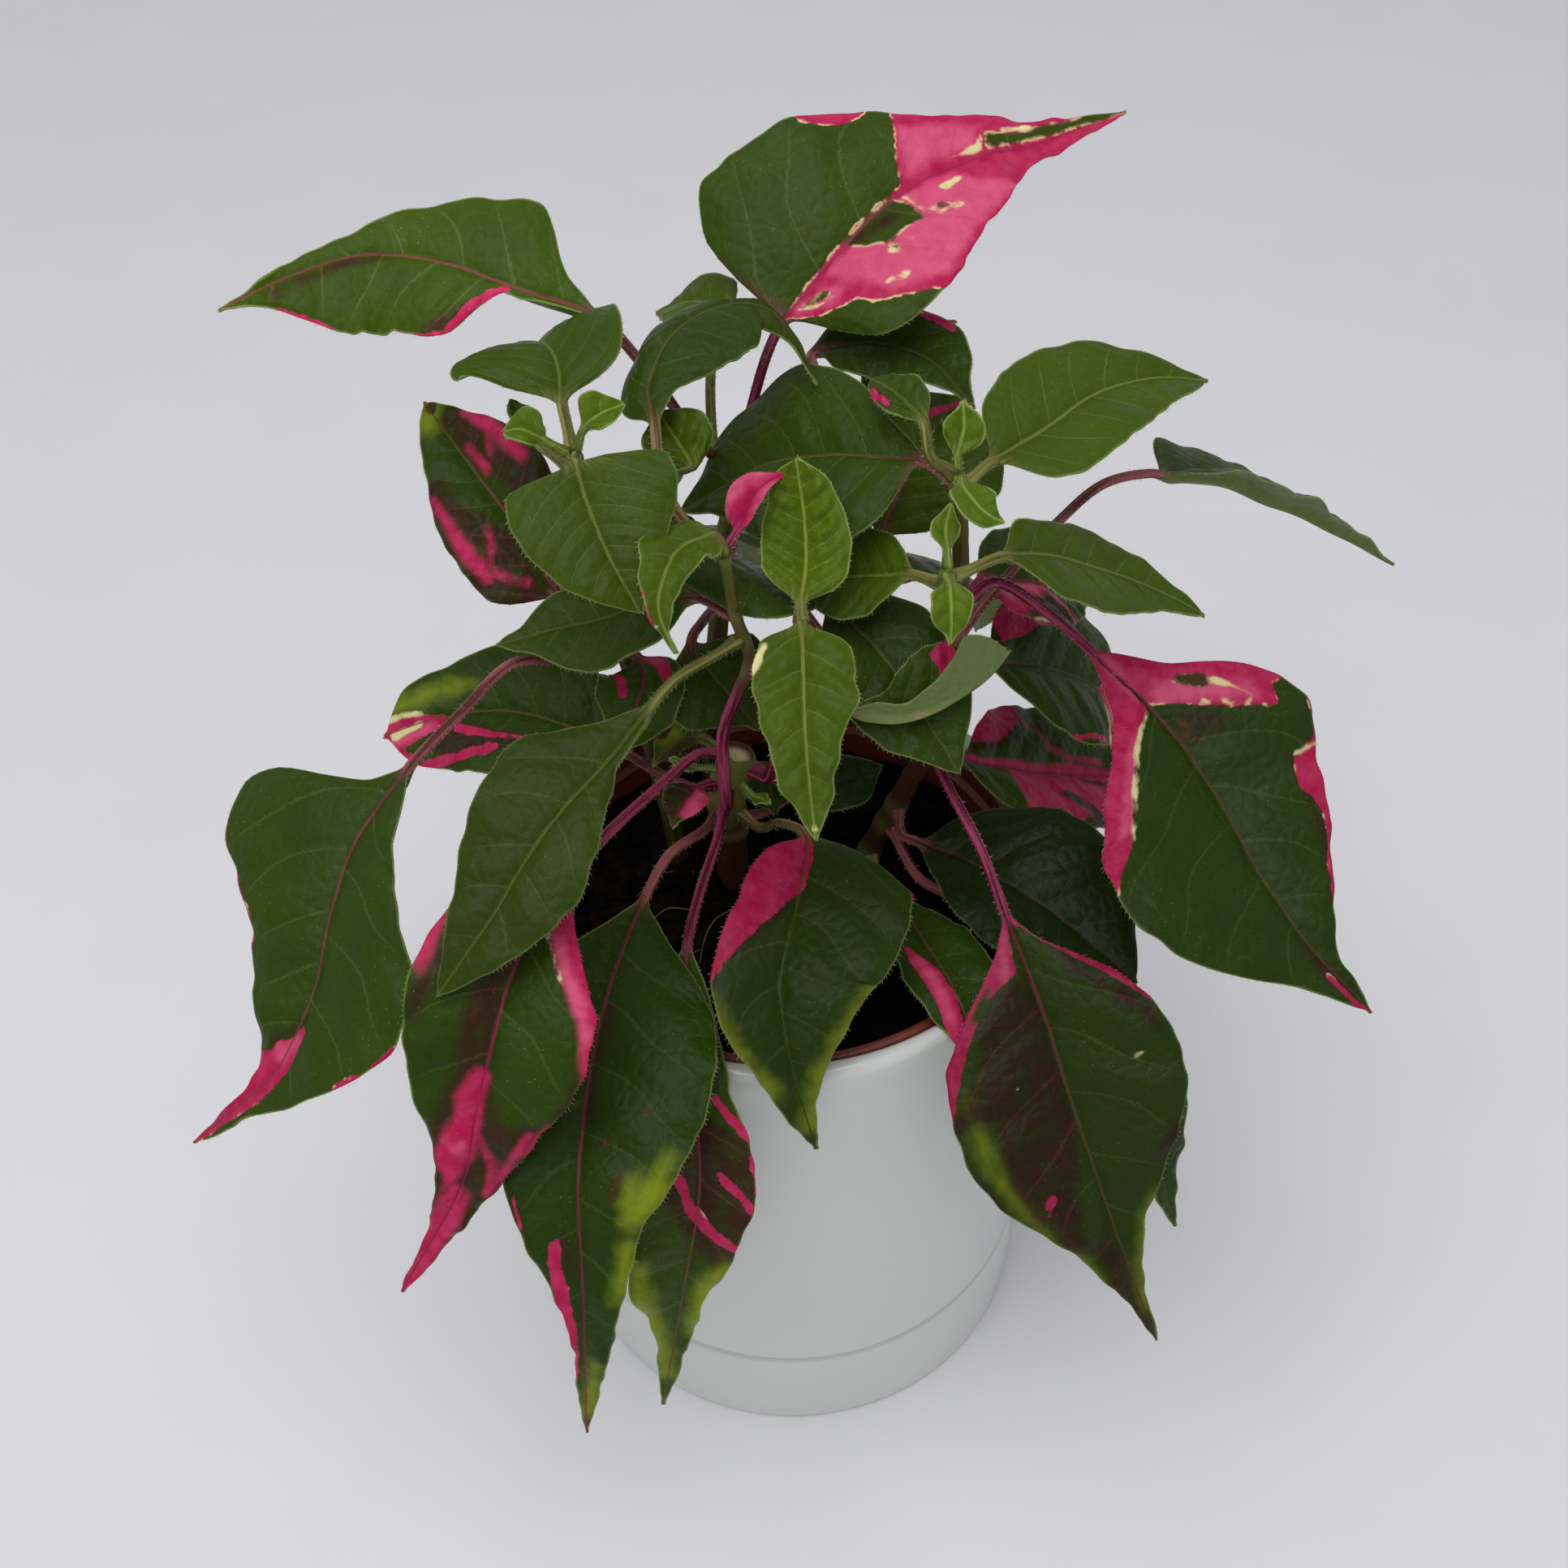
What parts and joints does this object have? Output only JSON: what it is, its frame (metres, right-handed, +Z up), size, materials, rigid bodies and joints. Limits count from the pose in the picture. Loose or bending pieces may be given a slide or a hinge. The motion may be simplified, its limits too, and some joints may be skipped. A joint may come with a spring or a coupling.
{
  "type": "potted alternanthera",
  "caption": "Bushy foliage plant with pointed green leaves splashed pink and burgundy, in a nursery pot inside a plain white cylindrical cover pot.",
  "frame": {"origin": "middle of the cover pot's flat foot", "axes": "+Z up along the pot's axis, -Y towards the side that the leaves lean to, +X to that side's right"},
  "size_m": [0.2093, 0.1637, 0.2234],
  "materials": {
    "glaze": "gloss",
    "nursery_plastic": "satin",
    "peat": "matt",
    "old_green": "satin",
    "young_green": "satin",
    "splashed": "satin",
    "stem": "satin"
  },
  "bodies": {
    "root": {"cover_pot": "glaze", "nursery_pot": "nursery_plastic", "soil": "peat", "old_stem": "stem", "left_stem": "stem", "top_stem": "stem", "rear_stem": "stem", "right_stem": "stem", "right_back_stem": "stem", "front_shoot": "stem", "middle_shoot": "stem", "top_leaf": "splashed", "arched_leaf": "old_green", "top_back_small_leaf": "young_green", "top_back_dark_leaf": "old_green", "top_rolled_leaf": "splashed", "upper_left_leaf": "old_green", "left_small_leaf": "young_green", "left_dark_leaf": "splashed", "heart_leaf": "young_green", "left_sliver_leaf": "young_green", "puckered_leaf": "young_green", "left_dull_leaf": "old_green", "left_splashed_leaf": "old_green", "far_left_leaf": "old_green", "front_left_leaf": "young_green", "left_burgundy_leaf": "splashed", "long_front_leaf": "old_green", "front_hidden_leaf": "splashed", "centre_dark_leaf": "old_green", "shoot_leaf_up": "young_green", "shoot_leaf_down": "young_green", "small_wavy_leaf": "young_green", "back_green_leaf": "old_green", "right_upper_leaf": "young_green", "right_light_leaf": "young_green", "light_leaf_behind_shoot": "young_green", "right_splashed_leaf": "splashed", "far_right_leaf": "old_green", "right_back_dark_leaf": "old_green", "right_back_pink_leaf": "splashed", "right_low_pink_leaf": "splashed", "right_wide_leaf": "old_green", "right_front_leaf": "splashed", "right_under_leaf": "old_green", "wet_leaf": "young_green", "curled_leaf": "old_green", "shaded_middle_leaf": "old_green", "back_pink_edge_leaf": "splashed", "right_puckered_leaf": "young_green", "low_small_leaf": "splashed", "low_dull_leaf": "old_green", "low_dark_left_leaf": "old_green", "low_dark_right_leaf": "old_green", "old_yellow_leaf": "young_green", "left_back_pink_leaf": "splashed", "middle_back_leaf": "old_green", "rear_left_leaf": "old_green", "rear_middle_leaf": "old_green", "rear_right_leaf": "old_green"}
  },
  "joints": []
}
